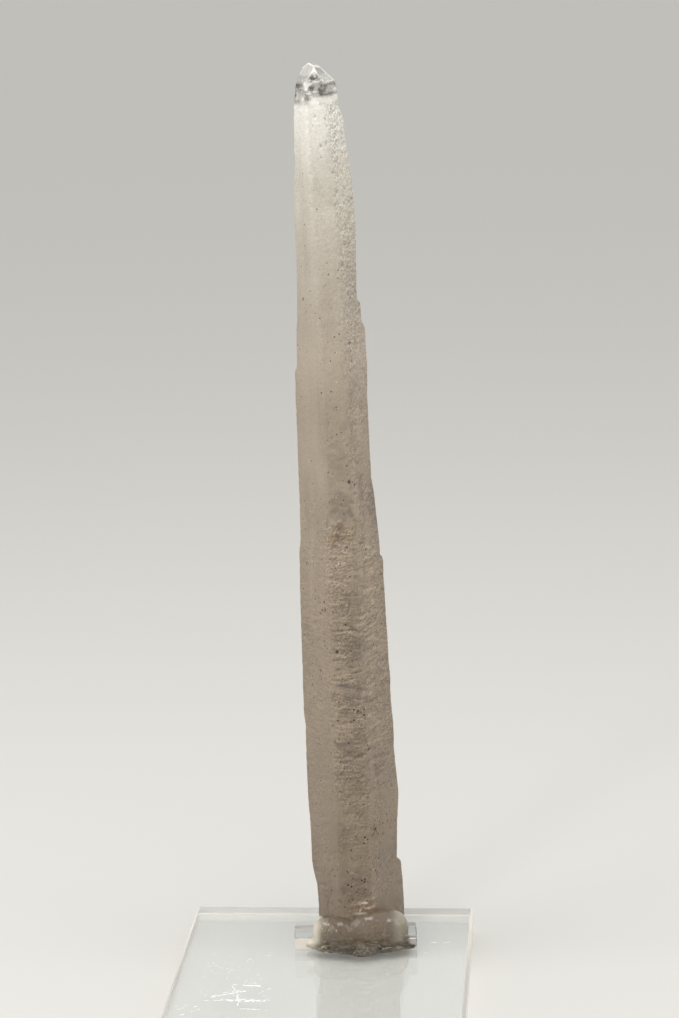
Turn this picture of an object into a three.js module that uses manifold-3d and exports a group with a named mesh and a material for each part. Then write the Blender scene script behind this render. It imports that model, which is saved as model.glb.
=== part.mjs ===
// A slender tapering quartz crystal, glued upright on a small clear acrylic slab.
// Millimetres, +Z up. The origin is the centre of the slab's underside, +X runs to the
// right and +Y away from someone who faces the crystal. Heights called "h" are measured
// from the slab's top.
import * as THREE from 'three';
import { mergeVertices } from 'three/addons/utils/BufferGeometryUtils.js';
import Module from 'manifold-3d';

const wasm = await Module();
wasm.setup();

// ---------------------------------------------------------------- driving dimensions
const DEG = Math.PI / 180;

// Acrylic slab: 2 in square, cut from 3/16 in sheet.
const SLAB_SIDE = 50.8;
const SLAB_THICK = 4.76;
const SLAB_BEVEL = 0.5;

// Clear strip under the front half of the crystal's foot.
const STRIP_LENGTH = 21.6;
const STRIP_DEPTH = 6.0;
const STRIP_HEIGHT = 2.2;
const STRIP_TURN = 4.9 * DEG;
const STRIP_FRONT_LEFT = { x: -5.5, y: 5.0 };

// Crystal: a six-sided column whose faces stand at exactly 60 degrees to each other.
const FACE_TURN = 6 * DEG;

// Its narrow front face and its thickness: [h, front face's left edge x and right edge x,
// y of that left edge, depth from the front face to the back one].
const SPINE = [
  [0, 2.7, 8.2, 5.95, 12.5],
  [30, 2.8, 7.8, 5.7, 13.0],
  [46, 2.5, 7.5, 5.75, 12.9],
  [64, 2.0, 6.95, 6.1, 12.2],
  [82, 1.95, 6.4, 6.4, 11.6],
  [100, 1.6, 5.8, 6.85, 10.7],
  [120, 1.1, 4.9, 7.7, 9.0],
  [140, 0.4, 3.8, 8.4, 7.6],
  [150, 0.1, 3.1, 9.1, 6.2],
  [155, 0, 2.6, 10.0, 4.4],
];

// How much thicker the lower growth is than the upper, on the front and on the back.
const SLEEVE_PROUD = 0.25;

// Vertices closer to a straight edge than this count as lying on it.
const ACCURACY = 0.004;

// Clearance between the glue and what it holds, and under the crystal behind the strip.
const GLUE_GAP = 0.3;

// Lower growth of the column: [h, left edge x, right edge x].
const SLEEVE = [
  [0, -1.75, 13.3],
  [6, -1.8, 13.25],
  [9.5, -2.0, 13.1],
  [12.2, -2.7, 12.95],
  [13.4, -2.9, 12.3],
  [20, -3.05, 12.5],
  [25.3, -3.35, 12.75],
  [33, -3.45, 12.25],
  [38.8, -3.4, 12.1],
  [41, -3.7, 11.95],
  [51, -3.7, 11.6],
  [61, -3.7, 11.2],
  [70, -3.65, 10.9],
  [80, -3.6, 10.6],
];

// Upper growth, which runs on out of the lower one up to the point.
const STEM = [
  [55, -3.45, 10.9],
  [66, -3.45, 10.6],
  [71.6, -3.4, 10.45],
  [80.3, -3.35, 9.8],
  [83.6, -3.4, 9.4],
  [93, -3.47, 9.1],
  [97.5, -3.57, 9.0],
  [101.8, -3.5, 9.03],
  [103.4, -3.1, 9.02],
  [109.5, -3.04, 8.75],
  [110.5, -2.85, 8.3],
  [113.6, -2.78, 8.15],
  [114.6, -2.72, 7.65],
  [122, -2.65, 7.6],
  [126, -2.82, 7.62],
  [134.3, -2.7, 7.12],
  [138.3, -2.3, 6.72],
  [139.5, -2.45, 6.4],
  [144.4, -2.35, 6.03],
  [146.2, -2.3, 5.6],
  [147.4, -2.25, 5.27],
  [150.3, -1.9, 4.97],
  [151.3, -1.7, 4.8],
  [155, -0.9, 4.0],
];

// Faces of the point: compass turn from the front, slope, and a place each passes through.
const POINT_FACES = [
  { turn: -54, slope: 54, at: [0.7, 12.0, 154.2] },
  { turn: 66, slope: 55, at: [2.28, 12.0, 153.74] },
  { turn: 126, slope: 43, at: [2.28, 12.0, 153.74] },
  { turn: 186, slope: 52, at: [1.2, 12.7, 154.1] },
  { turn: 6, slope: 62, at: [1.6, 10.05, 153.45] },
  { turn: 80, slope: 15, at: [0.7, 12.0, 154.2] },
];

// Where the lower growth ends: a roof-shaped ledge that falls away to both sides.
const ROOF_Y = 12;
const ROOF_RIDGE = { left: 3.0, right: 4.2, h: 77.5 };
const ROOF_FALL_LEFT = 44 * DEG;
const ROOF_FALL_RIGHT = 51 * DEG;

const FRONT = 0;
const RIGHT = 1;
const BACK_RIGHT = 2;
const BACK = 3;
const BACK_LEFT = 4;
const LEFT = 5;

// ---------------------------------------------------------------- solids and cuts
function solidOf(geometry) {
  const bare = geometry.clone();
  bare.deleteAttribute('normal');
  bare.deleteAttribute('uv');
  const joined = mergeVertices(bare, 1e-5);
  return new wasm.Manifold(new wasm.Mesh({
    numProp: 3,
    vertProperties: new Float32Array(joined.attributes.position.array),
    triVerts: new Uint32Array(joined.index.array),
    tolerance: ACCURACY,
  }));
}

function geometryOf(solid) {
  const mesh = solid.getMesh();
  const geometry = new THREE.BufferGeometry();
  geometry.setAttribute('position', new THREE.BufferAttribute(new Float32Array(mesh.vertProperties), 3));
  geometry.setIndex(new THREE.BufferAttribute(new Uint32Array(mesh.triVerts), 1));
  geometry.computeVertexNormals();
  return geometry;
}

// A half space as a large block: everything beyond a plane through a point.
function beyondPlane(point, normal, reach = 80) {
  const block = new THREE.BoxGeometry(2 * reach, 2 * reach, reach);
  block.translate(0, 0, reach / 2);
  const turn = new THREE.Quaternion().setFromUnitVectors(new THREE.Vector3(0, 0, 1), normal.clone().normalize());
  block.applyQuaternion(turn);
  block.translate(point.x, point.y, point.z);
  return solidOf(block);
}

// ---------------------------------------------------------------- the column's cross-section
// A row of a table at one height, between its two neighbours.
function rowAt(rows, h) {
  let i = 0;
  while (i < rows.length - 2 && rows[i + 1][0] < h) i += 1;
  const t = (h - rows[i][0]) / (rows[i + 1][0] - rows[i][0]);
  return rows[i].map((value, k) => value + t * (rows[i + 1][k] - value));
}

// Corners of the column at one height, from the front left edge anticlockwise seen from
// above: front left, front right, right, back right, back left, left.
function cornersAt(rows, h, grow = 0) {
  const [, left, right] = rowAt(rows, h);
  const [, frontLeft, frontRight, stemFrontY, stemDepth] = rowAt(SPINE, h);
  const proud = rows === SLEEVE ? SLEEVE_PROUD : 0;
  const frontY = stemFrontY - proud;
  const depth = stemDepth + 2 * proud;
  const flat = Math.tan(FACE_TURN);
  const steepLeft = Math.tan(60 * DEG - FACE_TURN);
  const steepRight = Math.tan(60 * DEG + FACE_TURN);
  const frontRightY = frontY + (frontRight - frontLeft) * flat;
  const rightY = frontRightY + (right - frontRight) * steepRight;
  const leftY = frontY + (frontLeft - left) * steepLeft;
  const backY = (x) => frontY + depth + (x - (left + right) / 2) * flat;
  const inRight = (backY(right) - rightY) / (steepLeft + flat);
  const inLeft = (backY(left) - leftY) / (steepRight - flat);
  const corners = [
    [frontLeft, frontY],
    [frontRight, frontRightY],
    [right, rightY],
    [right - inRight, rightY + inRight * steepLeft],
    [left + inLeft, leftY + inLeft * steepRight],
    [left, leftY],
  ];
  // growing moves every face outwards by the same distance
  return corners.map(([x, y], k) => {
    const outward = FACE_TURN + (k * 60 - 30) * DEG;
    const step = grow / Math.cos(30 * DEG);
    return new THREE.Vector3(x + step * Math.sin(outward), y - step * Math.cos(outward), SLAB_THICK + h);
  });
}

// A closed column through the rows' cross-sections.
function column(rows, grow = 0) {
  const heights = rows.map(([h]) => h);
  for (const [h] of SPINE) {
    if (h > rows[0][0] && h < rows.at(-1)[0] && !heights.includes(h)) heights.push(h);
  }
  heights.sort((a, b) => a - b);
  const rings = heights.map((h) => cornersAt(rows, h, grow));
  const count = rings[0].length;
  const positions = rings.flat().flatMap((corner) => corner.toArray());
  const triangles = [];
  for (let r = 0; r < rings.length - 1; r += 1) {
    for (let k = 0; k < count; k += 1) {
      const a = r * count + k;
      const b = r * count + ((k + 1) % count);
      triangles.push(a, b, b + count, a, b + count, a + count);
    }
  }
  const top = (rings.length - 1) * count;
  for (let k = 1; k < count - 1; k += 1) {
    triangles.push(0, k + 1, k);
    triangles.push(top, top + k, top + k + 1);
  }
  const geometry = new THREE.BufferGeometry();
  geometry.setAttribute('position', new THREE.Float32BufferAttribute(positions, 3));
  geometry.setIndex(triangles);
  return solidOf(geometry);
}

// Outward direction of a face of the column.
function faceNormal(face) {
  const turn = FACE_TURN + face * 60 * DEG;
  return new THREE.Vector3(Math.sin(turn), -Math.cos(turn), 0);
}

// A place on a face: "across" runs from 0 at the face's left edge to 1 at its right.
function onFace(rows, face, across, h) {
  const corners = cornersAt(rows, h);
  return corners[face].clone().lerp(corners[(face + 1) % 6], across);
}

// ---------------------------------------------------------------- surface relief
// A groove or a raised rib along a straight line on a face.
function strokeOnFace(rows, face, from, to, width, depth) {
  const start = onFace(rows, face, from.across, from.h);
  const end = onFace(rows, face, to.across, to.h);
  const along = end.clone().sub(start);
  const length = along.length();
  const outward = faceNormal(face);
  const bar = new THREE.BoxGeometry(length, 2 * depth, width);
  const frame = new THREE.Matrix4().makeBasis(
    along.normalize(),
    outward,
    new THREE.Vector3().crossVectors(along, outward),
  );
  bar.applyMatrix4(frame);
  const middle = start.add(end).multiplyScalar(0.5);
  bar.translate(middle.x, middle.y, middle.z);
  return solidOf(bar);
}

// A four-sided pit, or a lump, centred on a face.
function diamondOnFace(rows, face, spot, size) {
  const diamond = new THREE.OctahedronGeometry(1, 0);
  diamond.scale(size.wide / 2, size.deep, size.tall / 2);
  diamond.rotateZ(FACE_TURN + face * 60 * DEG);
  const place = onFace(rows, face, spot.across, spot.h);
  diamond.translate(place.x, place.y, place.z);
  return solidOf(diamond);
}

// A small repeatable random series.
function series(seed) {
  let state = seed;
  return () => {
    state = (state * 16807) % 2147483647;
    return state / 2147483647;
  };
}

// Level growth lines on each face of the lower growth, as this kind of crystal has:
// [face, h and height of each groove].
const GROWTH_LINES = [
  [FRONT, [67.3, 0.3], [63.7, 0.35], [60.7, 0.4], [57.9, 0.6], [56.2, 0.35], [52.6, 0.3], [50.7, 0.35],
    [49.4, 0.55], [47.7, 0.4], [44.6, 0.4], [41.2, 0.6], [38.6, 0.3], [35.2, 1.0], [32.4, 0.3]],
  [RIGHT, [64.4, 0.3], [61.0, 0.4], [57.6, 0.5], [55.3, 0.4], [52.4, 0.5], [49.6, 0.6], [46.2, 0.5],
    [42.6, 0.4], [39.4, 0.6], [36.3, 0.5], [31.6, 0.4], [28.2, 0.5]],
  [BACK_RIGHT, [60.5, 0.4], [53.5, 0.5], [47, 0.4], [39.5, 0.6], [31, 0.4], [22, 0.5]],
  [BACK, [62.5, 0.4], [57.9, 0.6], [51, 0.4], [44.6, 0.5], [41, 0.3], [35.4, 0.7], [28.5, 0.4], [20, 0.5]],
  [BACK_LEFT, [58.5, 0.4], [50.5, 0.5], [43, 0.4], [36.5, 0.5], [27, 0.4]],
  [LEFT, [57.4, 0.3], [49.8, 0.4], [42.3, 0.4], [36.2, 0.4], [31.1, 0.5], [26.6, 0.4]],
];
const GROWTH_LINE_DEPTH = 0.2;

function growthLines() {
  return GROWTH_LINES.flatMap(([face, ...lines]) => lines.map(([h, tall], i) => {
    const from = { across: 0.09 + 0.07 * (i % 3), h: h - 0.1 };
    const to = { across: 0.92 - 0.05 * ((i + 1) % 3), h: h + 0.1 };
    return strokeOnFace(SLEEVE, face, from, to, tall, GROWTH_LINE_DEPTH);
  }));
}

// The larger pits that can be told apart: [rows, face, across, h, wide, tall, deep].
const NAMED_PITS = [
  [SLEEVE, RIGHT, 0.55, 21.4, 1.9, 2.6, 0.6],
  [SLEEVE, RIGHT, 0.18, 36.6, 0.8, 1.1, 0.4],
  [SLEEVE, FRONT, 0.45, 54.2, 0.7, 0.8, 0.35],
  [STEM, FRONT, 0.82, 84.3, 0.8, 1.0, 0.4],
  [STEM, RIGHT, 0.15, 83.6, 0.9, 1.2, 0.45],
  [STEM, FRONT, 0.35, 78.8, 1.0, 1.2, 0.35],
  [STEM, RIGHT, 0.2, 118.6, 1.2, 1.5, 0.4],
  [STEM, RIGHT, 0.5, 108.5, 1.0, 1.4, 0.4],
  [STEM, FRONT, 0.3, 131.5, 0.9, 1.6, 0.3],
  [STEM, RIGHT, 0.45, 141.5, 1.0, 0.7, 0.3],
  [STEM, LEFT, 0.95, 138.8, 0.6, 1.5, 0.3],
];

// Smaller ones are strewn over a stretch of a face: [rows, face, from h, to h, how many].
const STREWN_PITS = [
  [SLEEVE, RIGHT, 12, 66, 16],
  [SLEEVE, FRONT, 14, 74, 12],
  [SLEEVE, LEFT, 12, 60, 8],
  [SLEEVE, BACK_RIGHT, 10, 66, 6],
  [SLEEVE, BACK, 10, 66, 12],
  [SLEEVE, BACK_LEFT, 10, 66, 8],
  [STEM, RIGHT, 84, 146, 22],
  [STEM, FRONT, 80, 144, 10],
  [STEM, LEFT, 80, 144, 7],
  [STEM, BACK, 80, 144, 10],
  [STEM, BACK_LEFT, 80, 144, 7],
];

function pits() {
  const random = series(71);
  const cuts = NAMED_PITS.map(([rows, face, across, h, wide, tall, deep]) => (
    diamondOnFace(rows, face, { across, h }, { wide, tall, deep })
  ));
  for (const [rows, face, from, to, count] of STREWN_PITS) {
    for (let k = 0; k < count; k += 1) {
      const spot = { across: 0.1 + 0.8 * random(), h: from + (to - from) * random() };
      const wide = 0.45 + 0.5 * random();
      const size = { wide, tall: wide * (0.9 + 0.8 * random()), deep: 0.18 + 0.17 * random() };
      cuts.push(diamondOnFace(rows, face, spot, size));
    }
  }
  return cuts;
}

// Small lumps that stand proud: [rows, face, across, h, wide, tall, proud].
const LUMPS = [
  [STEM, RIGHT, 0.97, 140.9, 1.3, 1.8, 0.35],
  [STEM, RIGHT, 0.62, 126.4, 1.7, 1.9, 0.2],
  [SLEEVE, RIGHT, 0.9, 25.0, 1.8, 2.2, 0.2],
  [SLEEVE, FRONT, 0.6, 7.6, 3.2, 1.2, 0.35],
];

function lumps() {
  return LUMPS.map(([rows, face, across, h, wide, tall, deep]) => (
    diamondOnFace(rows, face, { across, h }, { wide, tall, deep })
  ));
}

// ---------------------------------------------------------------- the pieces
function pointCuts() {
  return POINT_FACES.map(({ turn, slope, at }) => {
    const lean = Math.sin(slope * DEG);
    const normal = new THREE.Vector3(lean * Math.sin(turn * DEG), -lean * Math.cos(turn * DEG), Math.cos(slope * DEG));
    return beyondPlane(new THREE.Vector3(at[0], at[1], SLAB_THICK + at[2]), normal);
  });
}

function roofCuts() {
  const h = SLAB_THICK + ROOF_RIDGE.h;
  const sideways = (fall) => new THREE.Vector3(Math.sin(fall), 0, Math.cos(fall));
  return [
    beyondPlane(new THREE.Vector3(ROOF_RIDGE.left, ROOF_Y, h), sideways(-ROOF_FALL_LEFT)),
    beyondPlane(new THREE.Vector3(ROOF_RIDGE.right, ROOF_Y, h), sideways(ROOF_FALL_RIGHT)),
    beyondPlane(new THREE.Vector3(0, ROOF_Y, h), new THREE.Vector3(0, 0, 1)),
  ];
}

// Outline of the strip seen from above, grown by a margin.
function stripOutline(grow = 0) {
  const turned = (along, back) => new THREE.Vector2(
    STRIP_FRONT_LEFT.x + along * Math.cos(STRIP_TURN) - back * Math.sin(STRIP_TURN),
    STRIP_FRONT_LEFT.y + along * Math.sin(STRIP_TURN) + back * Math.cos(STRIP_TURN),
  );
  return new THREE.Shape([
    turned(-grow, -grow),
    turned(STRIP_LENGTH + grow, -grow),
    turned(STRIP_LENGTH + grow, STRIP_DEPTH + grow),
    turned(-grow, STRIP_DEPTH + grow),
  ]);
}

function stripBlock(grow, bottom, top) {
  const block = new THREE.ExtrudeGeometry(stripOutline(grow), { depth: top - bottom, bevelEnabled: false });
  block.translate(0, 0, bottom);
  return solidOf(block);
}

function crystal() {
  let lower = column(SLEEVE);
  for (const cut of roofCuts()) lower = lower.subtract(cut);
  let upper = column(STEM);
  for (const cut of pointCuts()) upper = upper.subtract(cut);
  let body = lower.add(upper);
  for (const lump of lumps()) body = body.add(lump);
  for (const cut of [...growthLines(), ...pits()]) body = body.subtract(cut);
  // the broken foot is stepped: its front half is cut back to sit on the strip
  const stripTop = SLAB_THICK + STRIP_HEIGHT;
  body = body.subtract(stripBlock(GLUE_GAP, SLAB_THICK - 1, stripTop));
  const [, , right] = SLEEVE[0];
  const inFront = new THREE.BoxGeometry(4 * right, 20, 2 * STRIP_HEIGHT);
  inFront.translate(0, -10, 0);
  inFront.rotateZ(STRIP_TURN);
  inFront.translate(STRIP_FRONT_LEFT.x, STRIP_FRONT_LEFT.y + STRIP_DEPTH / 2, SLAB_THICK);
  return body.subtract(solidOf(inFront));
}

// Set glue: rounded lobes that ran together round the foot, [x, y, h, half sizes].
const GLUE_LOBES = [
  [-0.15, 5.9, 2.85, 2.3, 2.45, 2.85],
  [2.5, 5.9, 2.7, 3.1, 2.9, 3.2],
  [7.4, 6.9, 3.3, 3.9, 2.9, 3.3],
  [10.6, 8.4, 3.1, 3.9, 3.7, 3.2],
  [12.5, 9.2, 2.0, 2.0, 3.4, 2.3],
  [6.2, 5.2, 0.1, 4.4, 2.8, 1.6],
  [10.4, 6.0, 0.1, 3.6, 2.2, 1.7],
  [1.8, 5.4, 0.3, 3.4, 2.2, 1.6],
  [-1.6, 4.7, 0.4, 1.6, 1.0, 1.1],
  [-0.75, 9.5, 2.5, 1.75, 3.3, 1.95],
  [12.05, 12.7, 0.6, 2.25, 3.7, 2.3],
];

function glue() {
  let mass = null;
  for (const [x, y, h, halfX, halfY, halfZ] of GLUE_LOBES) {
    const lobe = new THREE.SphereGeometry(1, 18, 10);
    lobe.rotateX(90 * DEG);
    lobe.scale(halfX, halfY, halfZ);
    lobe.translate(x, y, SLAB_THICK + h);
    mass = mass ? mass.add(solidOf(lobe)) : solidOf(lobe);
  }
  const underside = beyondPlane(new THREE.Vector3(0, 0, SLAB_THICK), new THREE.Vector3(0, 0, -1));
  const foot = column(SLEEVE, GLUE_GAP);
  const strip = stripBlock(GLUE_GAP, SLAB_THICK - 1, SLAB_THICK + STRIP_HEIGHT);
  return mass.subtract(underside).subtract(foot).subtract(strip);
}

function slab() {
  const half = SLAB_SIDE / 2 - SLAB_BEVEL;
  const outline = new THREE.Shape([
    new THREE.Vector2(-half, -half),
    new THREE.Vector2(half, -half),
    new THREE.Vector2(half, half),
    new THREE.Vector2(-half, half),
  ]);
  const block = new THREE.ExtrudeGeometry(outline, {
    depth: SLAB_THICK - 2 * SLAB_BEVEL,
    bevelThickness: SLAB_BEVEL,
    bevelSize: SLAB_BEVEL,
    bevelSegments: 1,
  });
  block.translate(0, 0, SLAB_BEVEL);
  return solidOf(block);
}

function piece(name, solid, look) {
  const mesh = new THREE.Mesh(geometryOf(solid), new THREE.MeshStandardMaterial(look));
  mesh.name = name;
  return mesh;
}

const group = new THREE.Group();
group.add(piece('quartz_crystal', crystal(), { color: 0xd2c6b6, roughness: 0.45, metalness: 0 }));
group.add(piece('glue', glue(), { color: 0xd8d2c4, roughness: 0.15, metalness: 0 }));
group.add(piece('foot_strip', stripBlock(0, SLAB_THICK, SLAB_THICK + STRIP_HEIGHT), {
  color: 0xe4e2de,
  roughness: 0.3,
  metalness: 0,
}));
group.add(piece('acrylic_slab', slab(), { color: 0xe8eae8, roughness: 0.05, metalness: 0 }));

export default group;
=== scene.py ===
"""A slender tapering quartz crystal, glued upright on a small clear acrylic slab.

Metres, +Z up. The origin is the centre of the slab's underside, +X runs to the right and
+Y away from someone who faces the crystal. Lengths in the tables are millimetres, and
heights called h are measured from the slab's top.
"""
import math
from functools import partial
from types import SimpleNamespace

import bmesh
import bpy
import numpy as np
from mathutils import Matrix, Vector


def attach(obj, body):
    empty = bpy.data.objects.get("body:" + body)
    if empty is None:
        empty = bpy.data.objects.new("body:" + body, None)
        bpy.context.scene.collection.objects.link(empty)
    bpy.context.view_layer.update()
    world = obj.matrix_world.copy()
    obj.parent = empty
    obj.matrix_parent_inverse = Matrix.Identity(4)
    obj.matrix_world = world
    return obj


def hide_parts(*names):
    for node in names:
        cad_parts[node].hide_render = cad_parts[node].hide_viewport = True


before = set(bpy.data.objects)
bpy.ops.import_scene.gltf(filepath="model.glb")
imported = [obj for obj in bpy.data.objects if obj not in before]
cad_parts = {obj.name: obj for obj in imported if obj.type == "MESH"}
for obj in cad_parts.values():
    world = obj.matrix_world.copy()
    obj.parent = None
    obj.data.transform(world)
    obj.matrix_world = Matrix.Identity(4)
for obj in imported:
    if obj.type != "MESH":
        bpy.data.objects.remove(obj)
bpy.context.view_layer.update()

MM = 0.001
rad = math.radians

# ---------------- sizes
SLAB_SIDE = 50.8
SLAB_THICK = 4.76
SLAB_BEVEL = 0.5

STRIP_LENGTH = 21.6
STRIP_DEPTH = 6.0
STRIP_HEIGHT = 2.2
STRIP_BEVEL = 0.08
STRIP_TURN = rad(4.9)
STRIP_CORNER = (-5.5, 5.0)
# how much of the strip's front, from its left end, is clear of glue and so looks sawn
STRIP_DRY = 3.1

# how far the glue and the strip stay off the slab's top, so that no two faces coincide
SEAT_GAP = 0.01
FLOOR_GAP = 0.05

FACE_TURN = rad(6)
FRONT, RIGHT, BACK_RIGHT, BACK, BACK_LEFT, LEFT = range(6)

# heights: where the foot's wider rows of vertices end, where growth lines turn strong, where
# the upper growth starts, where faces turn glassy, and the column's before its point is cut
FOOT_H, LINED_H, UPPER_H, GLASSY_H, COLUMN_H = 14, 26, 78, 147.6, 156.5
FOOT_ROWS, COLUMN_ROWS = 44, 530
# how far up the step under the foot bends the rows above it
STEP_FADES = 6
# spacing of the vertices on the point's faces, and how near its plane counts as on a face
FACET_LATTICE = 0.2
ON_FACE = 0.01

QUARTZ_IOR = 1.544
ACRYLIC_IOR = 1.49
GLUE_IOR = 1.49

# h, front face's left edge x and right edge x, y of that left edge, depth to the back face
SPINE = np.array([
    (0, 2.7, 8.2, 5.95, 12.5), (30, 2.8, 7.8, 5.7, 13.0), (46, 2.5, 7.5, 5.75, 12.9),
    (64, 2.0, 6.95, 6.1, 12.2), (82, 1.95, 6.4, 6.4, 11.6), (100, 1.6, 5.8, 6.85, 10.7),
    (120, 1.1, 4.9, 7.7, 9.0), (140, 0.4, 3.8, 8.4, 7.6), (150, 0.1, 3.1, 9.1, 6.2),
    (155, 0, 2.6, 10.0, 4.4),
])
SLEEVE_PROUD = 0.25

# lower growth and upper growth of the column: h, left edge x, right edge x
SLEEVE = np.array([
    (0, -1.75, 13.3), (6, -1.8, 13.25), (9.5, -2.0, 13.1), (12.2, -2.7, 12.95),
    (13.4, -2.9, 12.3), (20, -3.05, 12.5), (25.3, -3.35, 12.75), (33, -3.45, 12.25),
    (38.8, -3.4, 12.1), (41, -3.7, 11.95), (51, -3.7, 11.6), (61, -3.7, 11.2),
    (70, -3.65, 10.9), (80, -3.6, 10.6),
])
STEM_FROM = 55
STEM = np.array([
    (STEM_FROM, -3.45, 10.9), (66, -3.45, 10.6), (71.6, -3.4, 10.45), (80.3, -3.35, 9.8),
    (83.6, -3.4, 9.4), (93, -3.47, 9.1), (97.5, -3.57, 9.0), (101.8, -3.5, 9.03),
    (103.4, -3.1, 9.02), (109.5, -3.04, 8.75), (110.5, -2.85, 8.3), (113.6, -2.78, 8.15),
    (114.6, -2.72, 7.65), (122, -2.65, 7.6), (126, -2.82, 7.62), (134.3, -2.7, 7.12),
    (138.3, -2.3, 6.72), (139.5, -2.45, 6.4), (144.4, -2.35, 6.03), (146.2, -2.3, 5.6),
    (147.4, -2.25, 5.27), (150.3, -1.9, 4.97), (151.3, -1.7, 4.8), (155, -0.9, 4.0),
])

# faces of the point: compass turn from the front, slope, a place that each passes through
POINT_FACES = [
    (-54, 54, (0.7, 12.0, 154.2)),
    (66, 55, (2.28, 12.0, 153.74)),
    (126, 43, (2.28, 12.0, 153.74)),
    (186, 52, (1.2, 12.7, 154.1)),
    (6, 62, (1.6, 10.05, 153.45)),
    (80, 15, (0.7, 12.0, 154.2)),
]

# the roof-shaped ledge where the lower growth ends
ROOF_LEFT, ROOF_RIGHT, ROOF_H = 3.0, 4.2, 77.5
ROOF_FALL_LEFT, ROOF_FALL_RIGHT = math.tan(rad(44)), math.tan(rad(51))

# h, depth and height of each level growth ledge on the front face
FRONT_LEDGES = [
    (72.6, 0.06, 0.35), (70.1, 0.07, 0.4), (67.3, 0.10, 0.4), (65.4, 0.08, 0.3), (63.7, 0.12, 0.4),
    (62.0, 0.09, 0.3), (60.7, 0.14, 0.4), (59.2, 0.10, 0.3), (57.9, 0.22, 0.45), (56.2, 0.10, 0.35),
    (54.4, 0.08, 0.3), (52.6, 0.10, 0.35), (50.7, 0.14, 0.35), (49.4, 0.22, 0.4), (47.7, 0.14, 0.4),
    (46.1, 0.10, 0.3), (44.6, 0.13, 0.35), (43.0, 0.10, 0.3), (41.2, 0.20, 0.45), (40.3, 0.10, 0.3),
    (38.6, 0.09, 0.35), (35.4, 0.22, 0.5), (34.6, 0.12, 0.3), (32.4, 0.10, 0.4), (28.8, 0.07, 0.4),
]

# named pits: face, share across it, h, radius, depth, darkness of what is caught in them
PITS = [
    (RIGHT, 0.22, 21.4, 0.45, 0.20, 1.0), (RIGHT, 0.17, 20.6, 0.3, 0.15, 1.0),
    (RIGHT, 0.12, 36.6, 0.42, 0.3, 1.0), (RIGHT, 0.05, 42.4, 0.3, 0.2, 0.8),
    (FRONT, 0.20, 54.5, 0.38, 0.3, 1.0), (FRONT, 0.06, 53.0, 0.3, 0.2, 0.6),
    (RIGHT, 0.16, 83.4, 0.36, 0.28, 1.0), (FRONT, 0.93, 84.2, 0.42, 0.3, 1.0),
    (FRONT, 0.86, 87.0, 0.25, 0.15, 0.6), (FRONT, 0.72, 72.9, 0.28, 0.15, 0.9),
    (FRONT, 0.95, 76.0, 0.28, 0.15, 0.8), (LEFT, 0.30, 114.9, 0.3, 0.2, 0.9),
    (FRONT, 0.62, 140.9, 0.3, 0.15, 0.3), (RIGHT, 0.28, 107.5, 0.35, 0.2, 0.6),
    (RIGHT, 0.33, 104.5, 0.35, 0.2, 0.6), (LEFT, 0.85, 61.6, 0.4, 0.2, 0.9),
    (LEFT, 0.70, 60.7, 0.3, 0.2, 0.7), (LEFT, 0.55, 63.0, 0.25, 0.15, 0.6),
    (LEFT, 0.62, 50.3, 0.25, 0.15, 0.8), (LEFT, 0.34, 47.0, 0.28, 0.2, 0.8),
    (LEFT, 0.78, 56.0, 0.28, 0.15, 0.8), (LEFT, 0.38, 38.6, 0.25, 0.15, 0.7),
    (FRONT, 0.55, 41.9, 0.22, 0.15, 0.7), (LEFT, 0.93, 41.2, 0.3, 0.2, 0.5),
]

# places where small grains of dirt were caught together: face, share, h, half sizes, strength
SPECKLED = [
    (RIGHT, 0.20, 21.6, 1.9, 1.5, 1.0), (RIGHT, 0.55, 21.8, 1.9, 1.6, 0.7),
    (FRONT, 0.96, 20.3, 1.0, 1.0, 0.6), (FRONT, 0.55, 12.5, 2.2, 2.2, 0.30),
    (FRONT, 0.45, 9.0, 1.2, 0.8, 0.55), (LEFT, 0.80, 13.0, 1.6, 1.8, 0.25),
    (FRONT, 0.15, 17.5, 1.5, 2.0, 0.22), (RIGHT, 0.25, 14.5, 2.0, 1.8, 0.25),
    (FRONT, 0.60, 43.0, 2.2, 2.6, 0.25), (LEFT, 0.85, 61.6, 1.0, 1.2, 0.35),
]

# greyer, clearer patches inside: face, share across, h, half sizes, strength
CLEAR_PATCHES = [
    (FRONT, 0.68, 78.6, 1.9, 3.8, 0.62), (FRONT, 0.60, 86.5, 1.7, 4.5, 0.30),
    (FRONT, 0.80, 62.5, 2.2, 3.0, 0.42), (FRONT, 0.72, 54.8, 2.3, 2.7, 0.68),
    (FRONT, 0.72, 45.6, 2.2, 3.0, 0.60), (FRONT, 0.60, 36.8, 2.3, 3.0, 0.58),
    (FRONT, 0.50, 30.6, 2.4, 2.6, 0.50), (FRONT, 0.45, 11.5, 2.6, 3.2, 0.60),
    (FRONT, 0.10, 20.5, 1.8, 2.6, 0.45), (FRONT, 0.75, 25.5, 1.8, 1.6, 0.35),
    (RIGHT, 0.35, 15.5, 2.0, 2.2, 0.30), (RIGHT, 0.85, 78.5, 1.8, 5.0, 0.75),
    (RIGHT, 0.45, 82.0, 1.8, 3.4, 0.42), (RIGHT, 0.90, 60.0, 1.8, 3.0, 0.35),
    (LEFT, 0.55, 9.5, 1.6, 3.4, 0.35), (RIGHT, 0.50, 32.5, 2.4, 2.8, 0.35),
    (RIGHT, 0.15, 92.0, 1.8, 5.0, 0.30), (BACK, 0.40, 70.0, 2.6, 7.0, 0.6),
    (BACK, 0.60, 40.0, 2.6, 5.0, 0.6), (BACK_LEFT, 0.5, 95.0, 1.4, 5.0, 0.5),
]

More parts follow.
